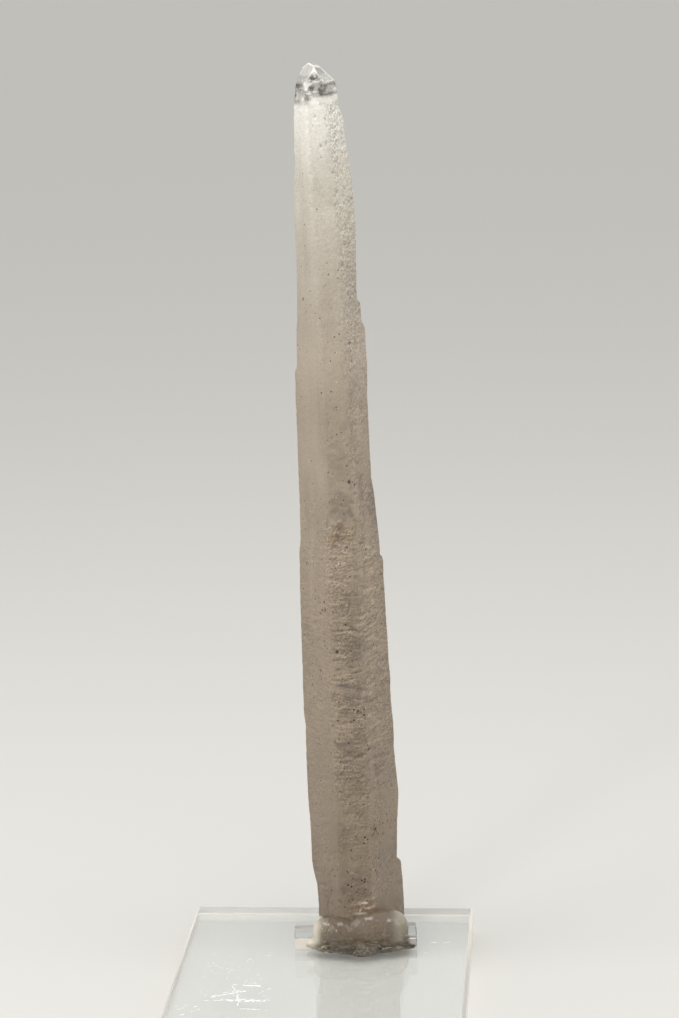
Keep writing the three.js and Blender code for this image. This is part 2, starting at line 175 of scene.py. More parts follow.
# yellowish iron stain: face, share across, h, half sizes, strength
STAINS = [
    (FRONT, 0.75, 75.9, 3.0, 1.7, 0.36), (FRONT, 0.02, 74.2, 1.1, 0.9, 0.36),
    (RIGHT, 0.28, 21.3, 1.2, 1.4, 0.6), (RIGHT, 0.72, 20.4, 1.2, 1.4, 0.5),
    (RIGHT, 0.30, 73.5, 1.4, 0.9, 0.3), (FRONT, 0.80, 7.4, 3.4, 1.9, 0.7),
]

# fine pale wrinkles above the glue, where it wetted the foot: h, rise, distance from the corner
WRINKLES = [(5.6, 0.5, -1.6), (6.4, 1.3, 0.2), (7.6, 0.4, -0.8), (7.9, 1.0, 0.9), (8.8, 0.6, -0.4)]

# marks that the crystal's vertices carry for its material
CRYSTAL_MARKS = (
    "clear", "stain", "grainy", "curled", "painted_relief_shade", "dirt", "speckled", "frost", "veil", "edge",
)

# frosted faces of the point, by their place in POINT_FACES, and the one painted paler as if lit
FROSTED = [(0, 0.75), (1, 0.45), (4, 0.85)]
PAINTED_LIT_FACE = 4

# heights between which the crystal's colour and finish are laid out
FINISH_FROM, FINISH_TO = 2.0, 158.0

# body colour of the crystal from its foot up to the clear point, darker towards the foot:
# partly painted shade of light falling off downwards, partly the milkier upper body
BODY_WITH_PAINTED_FALLOFF = [
    (0.0, "#9c8974"), (0.14, "#a2907b"), (0.42, "#b09e89"), (0.61, "#bbab98"),
    (0.76, "#cabfaf"), (0.86, "#d8d1c3"), (0.93, "#e3dfd5"), (0.965, "#f4f2ee"),
]

# how finely the glue's skin is divided
GLUE_CELL = 0.22

# lobes of the set glue: x, y, h, half sizes
GLUE_LOBES = [
    (-0.15, 5.9, 2.95, 2.25, 2.4, 2.75),
    (2.5, 5.9, 2.7, 3.1, 2.9, 3.2),
    (7.4, 6.9, 3.3, 3.9, 2.9, 3.3),
    (9.0, 7.7, 3.25, 3.9, 3.2, 3.25),
    (10.6, 8.4, 3.1, 3.9, 3.7, 3.2),
    (12.5, 9.2, 2.0, 2.0, 3.4, 2.3),
    (6.2, 5.2, 0.0, 4.4, 2.7, 1.3),
    (10.4, 5.9, -0.1, 3.6, 1.9, 1.2),
    (12.6, 6.9, -0.1, 3.2, 1.3, 1.3),
    (1.8, 5.0, -0.1, 3.6, 1.5, 1.1),
    (6.6, 3.4, -0.1, 2.2, 1.3, 0.8),
    (3.6, 4.0, -0.1, 1.8, 1.0, 0.8),
    (-2.0, 5.15, 1.1, 1.5, 0.45, 0.9),
    (-0.75, 9.5, 2.5, 1.75, 3.3, 1.9),
    (12.05, 12.7, 0.6, 2.2, 3.7, 2.25),
]


# ---------------- small helpers
def smooth(t):
    t = np.clip(t, 0, 1)
    return t * t * (3 - 2 * t)


def near(value, centre, wide):
    """1 at the centre, falling away over about wide."""
    return np.exp(-(((value - centre) / wide) ** 2))


def noise(seed, x, y):
    """Smooth random values between -1 and 1, one lattice cell per unit of x and y."""
    table = np.random.default_rng(seed).uniform(-1, 1, (256, 256))
    x, y = np.broadcast_arrays(np.asarray(x, float), np.asarray(y, float))
    xi, yi = np.floor(x).astype(int), np.floor(y).astype(int)
    tx, ty = smooth(x - xi), smooth(y - yi)
    low = table[xi % 256, yi % 256] * (1 - tx) + table[(xi + 1) % 256, yi % 256] * tx
    high = table[xi % 256, (yi + 1) % 256] * (1 - tx) + table[(xi + 1) % 256, (yi + 1) % 256] * tx
    return low * (1 - ty) + high * ty


def layered(seed, x, y, layers=3):
    return sum(noise(seed + 17 * i, x * 2**i, y * 2**i) / 2**i for i in range(layers))


def linear(hex_colour):
    """sRGB hex to linear RGBA."""
    parts = [int(hex_colour[i:i + 2], 16) / 255 for i in (1, 3, 5)]
    return (*[p / 12.92 if p <= 0.04045 else ((p + 0.055) / 1.055) ** 2.4 for p in parts], 1.0)


def in_scene(name, data):
    thing = bpy.data.objects.new(name, data)
    bpy.context.scene.collection.objects.link(thing)
    return thing


def new_mesh(name, vertices, faces):
    mesh = bpy.data.meshes.new(name)
    mesh.from_pydata(np.asarray(vertices, float).tolist(), [], faces)
    mesh.update()
    return mesh


def new_object(name, mesh, materials, flat=False, sharp_deg=None):
    """Put a mesh in the scene with its materials, shaded smooth up to the sharp angle."""
    for material in materials:
        mesh.materials.append(material)
    mesh.polygons.foreach_set("use_smooth", [not flat] * len(mesh.polygons))
    if sharp_deg is not None:
        mesh.set_sharp_from_angle(angle=rad(sharp_deg))
    mesh.update()
    return in_scene(name, mesh)


def places_above_slab(mesh):
    """The vertices in millimetres, with their heights from the slab's top."""
    places = np.empty(len(mesh.vertices) * 3)
    mesh.vertices.foreach_get("co", places)
    return places.reshape(-1, 3) / MM - (0, 0, SLAB_THICK)


def set_marks(mesh, marks):
    """Keep values at the mesh's vertices, for its material to read."""
    for name, values in marks.items():
        layer = mesh.attributes.get(name) or mesh.attributes.new(name, "FLOAT", "POINT")
        layer.data.foreach_set("value", values.reshape(-1).astype(np.float32))


def cut_away(bm, place, normal):
    """Cut off all that lies beyond a plane and close the cut. Returns the new faces."""
    cut = bmesh.ops.bisect_plane(
        bm, geom=bm.verts[:] + bm.edges[:] + bm.faces[:], dist=1e-8,
        plane_co=place, plane_no=normal, clear_outer=True,
    )
    rim = [e for e in cut["geom_cut"] if isinstance(e, bmesh.types.BMEdge) and e.is_boundary]
    return bmesh.ops.holes_fill(bm, edges=rim, sides=0)["faces"]


# ---------------- the crystal's surface
def face_turn(face):
    return FACE_TURN + rad(60) * face


def corners(rows, h, proud):
    """The six corners (n, 6, 2) of the column's cross-section at each height."""
    left, right = (np.interp(h, rows[:, 0], rows[:, i]) for i in (1, 2))
    x0, x1, y0, depth = (np.interp(h, SPINE[:, 0], SPINE[:, i]) for i in (1, 2, 3, 4))
    y0, depth = y0 - proud, depth + 2 * proud
    flat = math.tan(FACE_TURN)
    steep_left, steep_right = math.tan(rad(60) - FACE_TURN), math.tan(rad(60) + FACE_TURN)
    y1 = y0 + (x1 - x0) * flat
    right_y = y1 + (right - x1) * steep_right
    left_y = y0 + (x0 - left) * steep_left

    def back_y(x):
        return y0 + depth + (x - (left + right) / 2) * flat

    in_right = (back_y(right) - right_y) / (steep_left + flat)
    in_left = (back_y(left) - left_y) / (steep_right - flat)
    xs = [x0, x1, right, right - in_right, left + in_left, left]
    ys = [y0, y1, right_y, right_y + in_right * steep_left, left_y + in_left * steep_right, left_y]
    return np.stack([np.stack(xs, 1), np.stack(ys, 1)], 2)


# how far a sharp corner stands past one that is rounded to a radius of 1
CORNER_DROP = 0.155
# radius of each face's first corner, and the columns of vertices between a face's corners
CORNER_ROUND = {FRONT: 1.5, RIGHT: 1.3, BACK_RIGHT: 0.6, BACK: 0.7, BACK_LEFT: 0.7, LEFT: 0.6}
INNER_COLUMNS = {FRONT: 24, RIGHT: 36, BACK_RIGHT: 10, BACK: 22, BACK_LEFT: 14, LEFT: 28}


def corner_reaches(face, width):
    """How far from the face's first and last corner the rounding runs."""
    reaches = [CORNER_ROUND[f] * math.tan(rad(30)) for f in (face, (face + 1) % 6)]
    return [np.minimum(reach, width * 0.2) for reach in reaches]


def steps_across(face, width):
    """Distances (n, columns) from the face's left edge, closer together at the corners."""
    width = width[:, None]
    first, last = corner_reaches(face, width)
    at_corner = np.array([[0.0, 0.34, 0.67]])
    inner = np.linspace(0, 1, INNER_COLUMNS[face])
    middle = first + (width - first - last) * inner
    return np.concatenate([at_corner * first, middle, width - at_corner[:, :0:-1] * last], 1)


# how deeply each face is lined and roughened, how grainy it is, and how rare its pits are
LINED = {FRONT: 0.075, RIGHT: 0.12, BACK_RIGHT: 0.10, BACK: 0.09, BACK_LEFT: 0.07, LEFT: 0.03}
ROUGH = {FRONT: 0.024, RIGHT: 0.055, BACK_RIGHT: 0.05, BACK: 0.04, BACK_LEFT: 0.03, LEFT: 0.014}
GRAINY = {FRONT: 0.95, RIGHT: 1.0, BACK_RIGHT: 1.0, BACK: 0.9, BACK_LEFT: 0.8, LEFT: 0.58}
PITTED = {FRONT: 0.78, RIGHT: 0.70, BACK_RIGHT: 0.75, BACK: 0.8, BACK_LEFT: 0.84, LEFT: 0.84}


def roof_line(face, x):
    """Height where the lower growth ends: a low roof, ragged along its slopes."""
    roof = ROOF_H - np.maximum(ROOF_LEFT - x, 0) * ROOF_FALL_LEFT
    roof = roof - np.maximum(x - ROOF_RIGHT, 0) * ROOF_FALL_RIGHT
    return roof + 0.7 * layered(900 + face, x / 1.6, np.zeros_like(x), 2)


def ring_of_faces(h):
    """The six faces side by side, each passing from the lower growth to the upper."""
    sections = [corners(SLEEVE, h, SLEEVE_PROUD), corners(STEM, h, 0.0)]
    low = h < STEM_FROM
    # the width that marks are laid out on passes over more slowly
    unroll = smooth((h - 66) / 10)
    parts = []
    for face in range(6):
        turn = face_turn(face)
        along = np.array([math.cos(turn), math.sin(turn)])
        flats, spans, steps = [], [], []
        for section in sections:
            first, last = section[:, face], section[:, (face + 1) % 6]
            span = np.linalg.norm(last - first, axis=1)
            step = steps_across(face, span)
            flats.append(first[:, None, :] + step[:, :, None] * along)
            spans.append(span)
            steps.append(step)
        x = flats[0][:, :, 0]
        below_roof = roof_line(face, x) - h[:, None]
        # the lower growth's end is drawn out on the left and sharp on the right
        length = 0.7 + 2.3 * smooth((ROOF_LEFT + 0.6 - x) / 1.2)
        sleeve = smooth(below_roof / length + 0.5)
        sleeve[low] = 1.0
        mixed = [first * t + last * (1 - t) for first, last, t in (
            (flats[0], flats[1], sleeve[..., None]), (steps[0], steps[1], sleeve),
            (spans[0][:, None], spans[1][:, None], sleeve),
        )]
        parts.append(SimpleNamespace(
            face=face, place=mixed[0], s=mixed[1], width=mixed[2], sleeve=sleeve,
            below_roof=below_roof, span=spans[0] * (1 - unroll) + spans[1] * unroll,
        ))
    return parts


def unrolled(parts):
    """Where each column lies round the crystal, from the front face's left corner."""
    starts = {FRONT: 0.0}
    starts[RIGHT] = parts[FRONT].span
    starts[BACK_RIGHT] = starts[RIGHT] + parts[RIGHT].span
    starts[LEFT] = -parts[LEFT].span
    starts[BACK_LEFT] = starts[LEFT] - parts[BACK_LEFT].span
    starts[BACK] = starts[BACK_LEFT] - parts[BACK].span
    for part in parts:
        start, span = starts[part.face], part.span
        part.start = np.broadcast_to(start, span.shape)
        part.around = part.start[:, None] + part.s / part.width * span[:, None]


def blend_at_corners(part, table):
    """A per-face value that runs over into the next face's value round each corner."""
    face = part.face
    own, before, after = table[face], table[(face - 1) % 6], table[(face + 1) % 6]
    near_start = 0.5 * (1 - smooth(part.s / 1.2))
    near_end = 0.5 * (1 - smooth((part.width - part.s) / 1.2))
    return own + (before - own) * near_start + (after - own) * near_end


def spot(parts, part, face, share, at_h, half_across, half_up):
    """Distance from a named place on the crystal, as a share of the spot's half sizes."""
    home = parts[face]
    centre = home.start + share * home.span
    return np.hypot((part.around - centre[:, None]) / half_across, (part.h - at_h) / half_up)


def lay_out(parts, h):
    """Keep with each face what several kinds of relief and marks depend on."""
    front_width = parts[FRONT].span[:, None]
    left_start = parts[LEFT].start[:, None]
    for part in parts:
        around = part.around
        part.h, part.front_width, part.left_start = h, front_width, left_start
        part.etched = smooth((h - LINED_H) / 5) * part.sleeve
        part.right_edge = smooth((around - front_width * 0.85) / 2.4)
        part.wander = 0.45 * noise(2, around / 2.4, h / 4)
        part.grainy = blend_at_corners(part, GRAINY)


def growth_lines(part):
    """A lightly uneven face with level growth lines, which wander and break off."""
    around, h, wander = part.around, part.h, part.wander
    out = blend_at_corners(part, ROUGH) * layered(1, around / 1.5, h / 1.7)
    lines = 1 - 2 * np.abs(noise(3, around / 8.0, (h + wander) / 0.95))
    fine = 1 - 2 * np.abs(noise(4, around / 4.5, (h + 1.3 * wander) / 0.55))
    broken = smooth(0.55 + 0.9 * noise(5, around / 2.2, h / 3.2))
    strength = blend_at_corners(part, LINED) * (0.16 + 0.84 * part.etched)
    out += strength * (lines + 0.55 * fine) * broken
    # the broad, soft undulation of a natural face
    return out + 0.08 * noise(6, around / 5, h / 9)


def front_ledges(part):
    """How deep the front face steps in at each ledge. It comes out again a little higher."""
    around, h = part.around, part.h
    on_front = smooth((around + 0.9) / 1.2) * smooth((part.front_width + 0.9 - around) / 1.2)
    deep = np.zeros_like(around)
    for ledge_h, depth, tall in FRONT_LEDGES:
        level = h - ledge_h + 0.45 * noise(7, around / 1.9, ledge_h * 3.1)
        shade = smooth(0.75 + 0.8 * noise(8, around / 1.5, ledge_h * 1.7))
        step = np.exp(-np.maximum(level, 0) / tall) * smooth((level + 0.2) / 0.27)
        deep += 1.15 * on_front * depth * shade * step
    return deep


def broken_steps(part):
    """Broad broken steps on the right and behind, and the crumbled right edge higher up."""
    around, h = part.around, part.h
    to_right = smooth((around - part.front_width) / 1.5)
    behind = smooth((part.left_start - around) / 1.5)
    steps = smooth((noise(9, around / 4.5, (h + 0.5 * part.wander) / 2.1) - 0.2) / 0.2)
    crumbs = smooth(layered(10, around / 0.9, h / 1.0, 3) * 1.6)
    deep = 0.18 * np.maximum(to_right, behind) * part.etched * steps
    return deep + 0.08 * part.right_edge * smooth((h - UPPER_H) / 6) * crumbs


def cracks_and_pits(part):
    """Short curled cracks, mostly near the foot, and many small pits."""
    around, h = part.around, part.h
    crumbled = smooth((30 - h) / 8) + 0.25 * smooth((UPPER_H - h) / 6)
    crumbled = np.clip(crumbled + 0.6 * part.right_edge * smooth((h - 84) / 20), 0, 1)
    deep = 0.12 * smooth((noise(12, around / 0.5, h / 0.55) - blend_at_corners(part, PITTED)) / 0.15)
    for seed, size in ((30, 1.3), (33, 0.8)):
        curl = noise(seed, around / size, h / (size * 1.2))
        crack = near(curl, 0, 0.2) * smooth(noise(seed + 1, around / (size * 1.4), h / size) * 3 - 0.3)
        deep += 0.10 * crack * crumbled * (0.4 + 0.6 * part.grainy)
    return deep


def named_marks(parts, part):
    """How deep the named pits are, and the dirt, stain and clear patches at their places."""
    around, h = part.around, part.h
    deep = np.zeros_like(around)
    marks = {name: np.zeros_like(around) for name in ("dirt", "stain", "clear", "speckled")}
    for face, share, at_h, radius, depth, dark in PITS:
        away = spot(parts, part, face, share, at_h, radius, radius * 1.2)
        deep += depth * np.exp(-2.2 * away**2)
        marks["dirt"] = np.maximum(marks["dirt"], dark * np.exp(-3.2 * away**4))
    ragged = 0.75 * layered(11, around / 1.1, h / 0.8, 3)
    for name, table in (("clear", CLEAR_PATCHES), ("stain", STAINS), ("speckled", SPECKLED)):
        for face, share, at_h, half_across, half_up, much in table:
            away = spot(parts, part, face, share, at_h, half_across, half_up) + ragged
            marks[name] = np.maximum(marks[name], much * smooth((1.5 - away) / 1.3))
    return deep, marks


def grain_marks(part):
    """How grainy the etching is, and where it is curled: most on the lower growth."""
    around, h, sleeve = part.around, part.h, part.sleeve
    grainy, right_edge = part.grainy, part.right_edge
    upper = np.clip(0.36 + 0.75 * right_edge * smooth(0.7 + noise(14, around / 2, h / 5)), 0, 1)
    patchy = smooth(0.35 + 1.3 * noise(16, around / 2.6, h / 5))
    above = (1 - sleeve) * right_edge * (0.5 + 0.6 * patchy)
    return {
        "grainy": (grainy * sleeve + upper * (1 - sleeve)) * (0.5 + 0.5 * smooth((h - 22) / 8)),
        "curled": np.clip(above + sleeve * (0.25 + 0.85 * patchy) * grainy, 0.18, 1),
    }


def pale_edges(part):
    """Painted rim light on outer corners, the roof ledge's brim, and wrinkles where glue wetted the
    foot.
    """
    around, s, width, h, face = part.around, part.s, part.width, part.h, part.face
    edge = np.minimum(s, width - s)
    # painted rim light: a pale line down the outer corners at the sides, none beside the front
    painted_rim_light = 0.34 * (1 - smooth((edge - 0.02) / 0.4)) * smooth(0.45 + noise(17, edge * 0, h / 3.1))
    at_left = s < width / 2
    beside_front = (face == FRONT) | ((face == LEFT) & ~at_left) | ((face == RIGHT) & at_left)
    painted_rim_light = np.where(beside_front, 0.0, painted_rim_light)
    brim = near(part.below_roof, 0.3, 0.3) * smooth(0.45 + noise(13, around / 1.3, h / 9))
    brim = 0.22 * brim * smooth((around - part.front_width * 0.4) / 2)
    wrinkled = np.zeros_like(around)
    from_corner = around - part.front_width * 0.95
    for k, (base_h, rise, centre) in enumerate(WRINKLES):
        arc = base_h + rise * near(from_corner, centre, 1.6)
        arc = arc + 0.7 * layered(15 + k, around / 1.3, h / 3, 2)
        reach = 1.1 - np.abs(from_corner - centre) / 2.6 + 0.8 * noise(20 + k, around / 0.9, h)
        wrinkled = np.maximum(wrinkled, near(h, arc, 0.11) * smooth(reach))
    return np.maximum(painted_rim_light, np.maximum(brim, 0.75 * wrinkled))


def relief(parts, part):
    """How far the surface stands out, and the marks on it."""
    pits, marks = named_marks(parts, part)
    out = growth_lines(part) - front_ledges(part) - broken_steps(part) - pits - cracks_and_pits(part)
    dull = 1 - smooth((part.h - GLASSY_H) / 1.6)
    # painted light and shade: ledges that face up are painted paler, as if lit from above, and grooves
    # painted darker, as if in shade
    rise = np.gradient(out, axis=0) / np.gradient(np.broadcast_to(part.h, out.shape), axis=0)
    groove = out - sum(np.roll(out, k, 0) for k in range(-3, 4)) / 7
    marks["painted_relief_shade"] = np.tanh(-1.3 * rise + 7 * groove) * dull
    marks["edge"] = pale_edges(part)
    return out * dull, marks | grain_marks(part)


def place_face(part, lift):
    """The face's points with their relief, its nibbled edges and its rounded corners."""
    face, s, width, h = part.face, part.s, part.width, part.h
    edge = np.minimum(s, width - s)
    at_left = s < width / 2
    corner = np.where(at_left, face, (face + 1) % 6)
    lift = np.where((corner == BACK) & (edge < 1), lift * smooth(edge), lift)
    nibble = -0.07 * np.abs(layered(700, corner * 31.7, h / 1.1, 2)) * (1 - smooth((h - 147) / 2))
    near_corner = 1 - smooth((edge - 0.05) / 0.75)
    lift = lift * (1 - 0.6 * near_corner) + nibble * near_corner
    reach = np.where(at_left, *corner_reaches(face, width))
    bend = reach / math.tan(rad(30))
    inset = bend - np.sqrt(bend**2 - np.clip(reach - edge, 0, reach) ** 2)
    turn = face_turn(face)
    moved = part.place + (lift - inset)[..., None] * np.array([math.sin(turn), -math.cos(turn)])
    # the first column is the corner that this face shares with the one before it
    corner_turn = turn - rad(30)
    bisector = np.array([math.sin(corner_turn), -math.cos(corner_turn)])
    corner_lift = (lift[:, 0] - CORNER_DROP * bend[:, 0]) / math.cos(rad(30))
    moved[:, 0] = part.place[:, 0] + corner_lift[:, None] * bisector
    return moved


def crystal_grid():
    """Heights, places and marks of the column's rows of points, from the foot up."""
    foot = np.linspace(0, FOOT_H, FOOT_ROWS)
    h = np.concatenate([foot, np.linspace(FOOT_H, COLUMN_H, COLUMN_ROWS)[1:]])
    parts = ring_of_faces(h)
    unrolled(parts)
    lay_out(parts, h[:, None])
    columns, all_marks = [], []
    for part in parts:
        lift, marks = relief(parts, part)
        columns.append(place_face(part, lift))
        all_marks.append(marks)
    marks = {name: np.concatenate([m[name] for m in all_marks], 1) for name in all_marks[0]}
    return h, np.concatenate(columns, 1), marks


# ---------------- the crystal's solid form
def behind_strip(x, y):
    """How far a place lies behind the strip's back face."""
    along = math.sin(STRIP_TURN) * (x - STRIP_CORNER[0])
    return math.cos(STRIP_TURN) * (y - STRIP_CORNER[1]) - along - STRIP_DEPTH


def column_faces(rows, over_strip):
    """The column's sides and top, and its underside: two level parts and the step between."""
    columns = len(over_strip)
    j, i = np.meshgrid(np.arange(rows - 1), np.arange(columns), indexing="ij")
    low, k = j * columns, (i + 1) % columns
    high = low + columns
    faces = np.stack([low + i, low + k, high + k, high + i], -1).reshape(-1, 4).tolist()
    faces.append(list(range((rows - 1) * columns, rows * columns)))
    start = next(i for i in range(columns) if over_strip[i] and not over_strip[i - 1])
    ring = [(start + i) % columns for i in range(columns)]
    front = [i for i in ring if over_strip[i]]
    back = [i for i in ring if not over_strip[i]]
    return faces + [front[::-1], back[::-1], [front[0], front[-1], back[0], back[-1]]]


def facet_normal(turn, slope):
    lean = math.sin(rad(slope))
    return Vector((lean * math.sin(rad(turn)), -lean * math.cos(rad(turn)), math.cos(rad(slope))))


def cut_the_point(bm):
    """Cut the point's faces, each with a fine lattice of vertices to carry its marks."""
    for turn, slope, (x, y, top) in POINT_FACES:
        normal = facet_normal(turn, slope)
        facet = cut_away(bm, Vector((x, y, SLAB_THICK + top)) * MM, normal)
        across = Vector((math.cos(rad(turn)), math.sin(rad(turn)), 0))
        for direction in (across, across.cross(normal)):
            spread = [v.co.dot(direction) for f in facet for v in f.verts]
            for at in np.arange(min(spread), max(spread), FACET_LATTICE * MM)[1:]:
                edges = {e for f in facet for e in f.edges}
                vertices = {v for f in facet for v in f.verts}
                split = bmesh.ops.bisect_plane(
                    bm, geom=[*facet, *edges, *vertices], dist=1e-8,
                    plane_co=direction * at, plane_no=direction,
                )
                facet = [g for g in split["geom"] if isinstance(g, bmesh.types.BMFace)]


def mark_the_point(mesh):
    """Frosting, painted highlights on its edges and one face, and dark veils of the clear point,
    partly painted dark refraction, at its vertices.
    """
    places = places_above_slab(mesh)
    x, y, h = places.T
    away = np.array([
        -(places - through) @ np.array(facet_normal(turn, slope)) for turn, slope, through in POINT_FACES
    ])
    on_face = np.abs(away) < ON_FACE
    frost = np.zeros(len(h))
    for face, much in FROSTED:
        frost[on_face[face]] = much
    # a vertex on one facet is near an edge where the second nearest facet is close too
    nearest, second = np.sort(away, 0)[:2]
    high = smooth((h - 146) / 2)
    # painted highlight along the point's edges
    edge = near(np.where(nearest < ON_FACE, second, nearest), 0, 0.16) * high
    across = x - 0.3 * y
    veil = 0.7 * layered(41, across / 1.25, (h + 0.35 * noise(43, across / 0.9, h)) / 0.5, 3)
    veil = veil + 0.6 * layered(44, across / 0.8, h / 0.8, 2) + 0.35 * np.abs(across + 1.2) / 2.5 - 0.2
    # dark veils: partly veils inside the point and partly painted dark refraction
    dark = smooth((veil - 0.1) / 0.35) * high * smooth((152.8 - h) / 0.8)
    light = smooth((-veil - 0.25) / 0.3) * high
    # the pale marks already on the faces: painted rim light, the brim and the wrinkles
    painted_rim_light = np.empty(len(h), np.float32)
    mesh.attributes["edge"].data.foreach_get("value", painted_rim_light)
    # painted highlights: the point's edges, the face painted as lit, and pale streaks in the point
    painted_highlights = np.maximum(np.maximum(edge, 0.5 * on_face[PAINTED_LIT_FACE]), 0.7 * light * (1 - frost))
    set_marks(mesh, {"edge": np.maximum(painted_rim_light, painted_highlights), "frost": frost, "veil": dark * (1 - 0.7 * frost)})


def build_crystal(material):
    h, xy, marks = crystal_grid()
    rows, columns = xy.shape[:2]
    # the broken foot is stepped: its front stands on the strip and the rest on the slab
    over_strip = behind_strip(xy[0, :, 0], xy[0, :, 1]) < 0
    foot = np.where(over_strip, STRIP_HEIGHT, 0.0)
    z = h[:, None] + foot * np.clip(1 - h[:, None] / STEP_FADES, 0, 1)
    points = np.stack([xy[..., 0], xy[..., 1], z + SLAB_THICK], -1).reshape(-1, 3) * MM
    mesh = new_mesh("quartz_crystal_surface", points, column_faces(rows, over_strip))
    set_marks(mesh, marks)
    bm = bmesh.new()
    bm.from_mesh(mesh)
    cut_the_point(bm)
    bmesh.ops.recalc_face_normals(bm, faces=bm.faces[:])
    bm.to_mesh(mesh)
    bm.free()
    mark_the_point(mesh)
    return new_object("quartz_crystal_natural", mesh, (material,), sharp_deg=34)


# ---------------- set glue
def run_together():
    """One skin round all the lobes, as the hot glue's surface drew it."""
    bm = bmesh.new()
    for x, y, h, half_x, half_y, half_z in GLUE_LOBES:
        place = Matrix.Translation(Vector((x, y, SLAB_THICK + h)) * MM)
        size = Matrix.Diagonal((half_x * MM, half_y * MM, half_z * MM, 1))
        bmesh.ops.create_uvsphere(bm, u_segments=32, v_segments=20, radius=1, matrix=place @ size)
    mesh = bpy.data.meshes.new("glue_lobes")
    bm.to_mesh(mesh)
    bm.free()
    lobes = in_scene("glue_lobes", mesh)
    remesh = lobes.modifiers.new("run together", "REMESH")
    remesh.mode = "VOXEL"
    remesh.voxel_size = GLUE_CELL * MM
    relax = lobes.modifiers.new("surface tension", "SMOOTH")
    relax.factor = 0.5
    relax.iterations = 8
    seen = lobes.evaluated_get(bpy.context.evaluated_depsgraph_get())
    skin = bpy.data.meshes.new_from_object(seen)
    bpy.data.objects.remove(lobes)
    skin.name = "glue_skin"
    skin.materials.clear()
    return skin


def build_glue(material):
    """The lobes as one skin, rippled in front and cut flat where it lies on the slab."""
    skin = run_together()
    bm = bmesh.new()
    bm.from_mesh(skin)
    # ripples where the puddle in front was disturbed as it set
    x, y, z = np.array([v.co for v in bm.verts]).T / MM
    low = np.clip(1 - (z - SLAB_THICK - 1.4) / 1.2, 0, 1)
    ripple = 0.30 * low * layered(60, x / 1.5, y / 0.8 + z, 2) + 0.06 * noise(61, x / 2.2, z / 1.6)
    for v, much in zip(bm.verts, ripple):
        v.co += v.normal * float(much) * MM
    cut_away(bm, Vector((0, 0, SLAB_THICK + SEAT_GAP)) * MM, (0, 0, -1))
    bmesh.ops.recalc_face_normals(bm, faces=bm.faces[:])
    bm.to_mesh(skin)
    bm.free()
    # milky in the far left bead and clear in the puddle; where the crystal stands behind the glue,
    # the glue is painted with the crystal's colour, a painted view through it
    x, y, h = places_above_slab(skin).T
    bead = near(x, -2.5, 1.3) * (0.4 + 0.6 * near(h, 3.0, 2.2))
    thick = 0.42 * smooth((h - 0.7) / 1.2)
    before_crystal = smooth((x + 1.6) / 1.6) * smooth((13.2 - x) / 2.0) * smooth((h - 0.5) / 1.2)
    crystal_painted_through = before_crystal * (0.80 + 0.15 * near(x, 2.4, 2.4))
    set_marks(skin, {"cloudy": np.minimum(bead + thick, 1), "crystal_painted_through": crystal_painted_through})
    return new_object("glue_set", skin, (material,), sharp_deg=50)


# ---------------- acrylic slab and strip
def bevelled_block(name, outline, bottom, top, bevel, materials, dull_sides, dull_bevels):
    """A flat sheet piece: clear faces above and below, sawn sides and small broken edges."""
    n = len(outline)
    outline = np.array(outline, float)
    before, after = np.roll(outline, 1, 0) - outline, np.roll(outline, -1, 0) - outline
    before /= np.linalg.norm(before, axis=1)[:, None]
    after /= np.linalg.norm(after, axis=1)[:, None]
    turned = np.abs(before[:, 0] * after[:, 1] - before[:, 1] * after[:, 0]) > 0.01
    inward = np.where(turned[:, None], before + after, np.stack([-after[:, 1], after[:, 0]], 1))
    inner = outline + bevel * inward
    rings = [(inner, bottom), (outline, bottom + bevel), (outline, top - bevel), (inner, top)]
    vertices = [(x * MM, y * MM, z * MM) for ring, z in rings for x, y in ring]
    faces, sides = [list(range(n))[::-1], [3 * n + i for i in range(n)]], [None, None]
    for r in range(3):
        for i in range(n):
            k = (i + 1) % n
            faces.append([r * n + i, r * n + k, (r + 1) * n + k, (r + 1) * n + i])
            sides.append(i if r == 1 or dull_bevels else None)
    thing = new_object(name, new_mesh(name, vertices, faces), materials, flat=True)
    for side, polygon in zip(sides, thing.data.polygons):
        polygon.material_index = 1 if side in dull_sides else 0
    return thing


def strip_outline(stops):
    """The strip seen from above, with its front side divided at the given lengths."""
    c, s = math.cos(STRIP_TURN), math.sin(STRIP_TURN)
    x0, y0 = STRIP_CORNER
    around = [(a, 0) for a in stops] + [(STRIP_LENGTH, STRIP_DEPTH), (0, STRIP_DEPTH)]
    return [(x0 + a * c - b * s, y0 + a * s + b * c) for a, b in around]


# ---------------- materials
def add(tree, kind, inputs=(), out=0, **settings):
    """Add a node to the right of the last, with its settings, and return one of its outputs.
    Its inputs are numbers, hex colours or other nodes' outputs, by name or in order."""
    node = tree.nodes.new("ShaderNode" + kind)
    node.location.x = 200 * len(tree.nodes)
    for name, value in settings.items():
        setattr(node, name, value)
    for name, value in inputs.items() if isinstance(inputs, dict) else enumerate(inputs):
        if isinstance(value, bpy.types.NodeSocket):
            tree.links.new(value, node.inputs[name])
        else:
            node.inputs[name].default_value = linear(value) if isinstance(value, str) else value
    return node.outputs[out] if node.outputs else None


def new_material(name):
    """An empty material, and the function that adds its nodes."""
    material = bpy.data.materials.new(name)
    material.use_nodes = True
    material.node_tree.nodes.clear()
    return material, partial(add, material.node_tree)


def surfaced(material, node, inputs):
    """Give the material its surface, from the shader's inputs."""
    shader = node("BsdfPrincipled", inputs)
    node("OutputMaterial", {"Surface": shader})
    return material


